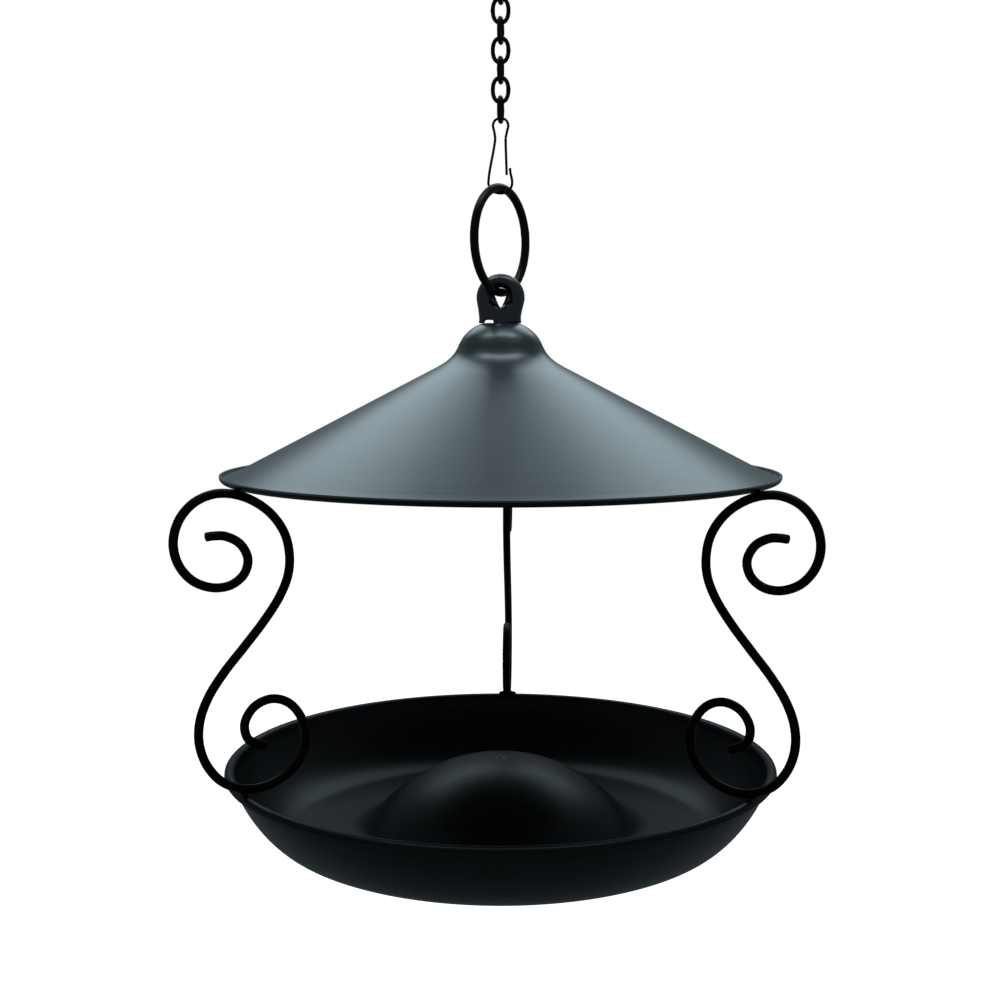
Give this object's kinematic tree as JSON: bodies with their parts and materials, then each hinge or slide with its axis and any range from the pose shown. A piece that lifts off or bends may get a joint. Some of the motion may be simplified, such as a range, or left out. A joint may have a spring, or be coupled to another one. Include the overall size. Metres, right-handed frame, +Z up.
{
  "type": "hanging bird feeder",
  "caption": "Hanging tray bird feeder: conical metal roof and dished tray joined by scrolled wire brackets, on a ring, snap clip, chain and S hook.",
  "frame": {"origin": "the point at the top of the S hook's upper bend where it bears on what holds it", "axes": "+Z straight up the hang line; +X to the right and +Y to the back, with one bracket at the back and the other two at the front left and front right"},
  "size_m": [0.1976, 0.2075, 0.3325],
  "materials": {
    "roof_paint": "satin black powder coat",
    "tray_paint": "satin black powder coat",
    "wire_paint": "satin black powder coat",
    "hardware_black": "black electro coat",
    "zinc": "zinc plated"
  },
  "bodies": {
    "top_hook": {"s_hook": "hardware_black"},
    "link_9": {"chain_link_9": "hardware_black"},
    "link_8": {"chain_link_8": "hardware_black"},
    "link_7": {"chain_link_7": "hardware_black"},
    "link_6": {"chain_link_6": "hardware_black"},
    "link_5": {"chain_link_5": "hardware_black"},
    "link_4": {"chain_link_4": "hardware_black"},
    "link_3": {"chain_link_3": "hardware_black"},
    "link_2": {"chain_link_2": "hardware_black"},
    "link_1": {"chain_link_1": "hardware_black"},
    "clip": {"snap_clip_frame": "hardware_black"},
    "clip_gate": {"snap_clip_gate": "hardware_black"},
    "ring": {"hanging_ring": "wire_paint"},
    "feeder": {"eye_bolt": "wire_paint", "washer": "zinc", "hex_nut": "zinc", "roof": "roof_paint", "bracket_left": "wire_paint", "bracket_right": "wire_paint", "bracket_back": "wire_paint", "tray": "tray_paint"}
  },
  "joints": [
    {"name": "link_9_swing", "type": "hinge", "parent": "top_hook", "child": "link_9", "pos_m": [0, 0, -0.0343], "axis": [1, 0, 0], "range_deg": [-20, 20]},
    {"name": "link_8_swing", "type": "hinge", "parent": "link_9", "child": "link_8", "pos_m": [0, 0, -0.04023], "axis": [0.1736, 0.9848, 0], "range_deg": [-20, 20]},
    {"name": "link_7_swing", "type": "hinge", "parent": "link_8", "child": "link_7", "pos_m": [0, 0, -0.04656], "axis": [1, 0, 0], "range_deg": [-20, 20]},
    {"name": "link_6_swing", "type": "hinge", "parent": "link_7", "child": "link_6", "pos_m": [0, 0, -0.05289], "axis": [0.1736, 0.9848, 0], "range_deg": [-20, 20]},
    {"name": "link_5_swing", "type": "hinge", "parent": "link_6", "child": "link_5", "pos_m": [0, 0, -0.05922], "axis": [1, 0, 0], "range_deg": [-20, 20]},
    {"name": "link_4_swing", "type": "hinge", "parent": "link_5", "child": "link_4", "pos_m": [0, 0, -0.06555], "axis": [0.1736, 0.9848, 0], "range_deg": [-20, 20]},
    {"name": "link_3_swing", "type": "hinge", "parent": "link_4", "child": "link_3", "pos_m": [0, 0, -0.07188], "axis": [1, 0, 0], "range_deg": [-20, 20]},
    {"name": "link_2_swing", "type": "hinge", "parent": "link_3", "child": "link_2", "pos_m": [0, 0, -0.07821], "axis": [0.1736, 0.9848, 0], "range_deg": [-20, 20]},
    {"name": "link_1_swing", "type": "hinge", "parent": "link_2", "child": "link_1", "pos_m": [0, 0, -0.08454], "axis": [1, 0, 0], "range_deg": [-20, 20]},
    {"name": "clip_swing", "type": "hinge", "parent": "link_1", "child": "clip", "pos_m": [0, 0, -0.09087], "axis": [0.1736, 0.9848, 0], "range_deg": [-20, 20]},
    {"name": "gate_press", "type": "hinge", "parent": "clip", "child": "clip_gate", "pos_m": [0.00165, 0, -0.09612], "axis": [0, 1, 0], "range_deg": [0, 18], "stiffness_Nm_per_rad": 0.04, "springref_deg": -5.73},
    {"name": "ring_swing", "type": "hinge", "parent": "clip", "child": "ring", "pos_m": [0, 0, -0.11424], "axis": [1, 0, 0], "range_deg": [-25, 25]},
    {"name": "feeder_swing", "type": "hinge", "parent": "ring", "child": "feeder", "pos_m": [0, 0, -0.14652], "axis": [0.4679, 0.8838, 0], "range_deg": [-30, 30]}
  ]
}
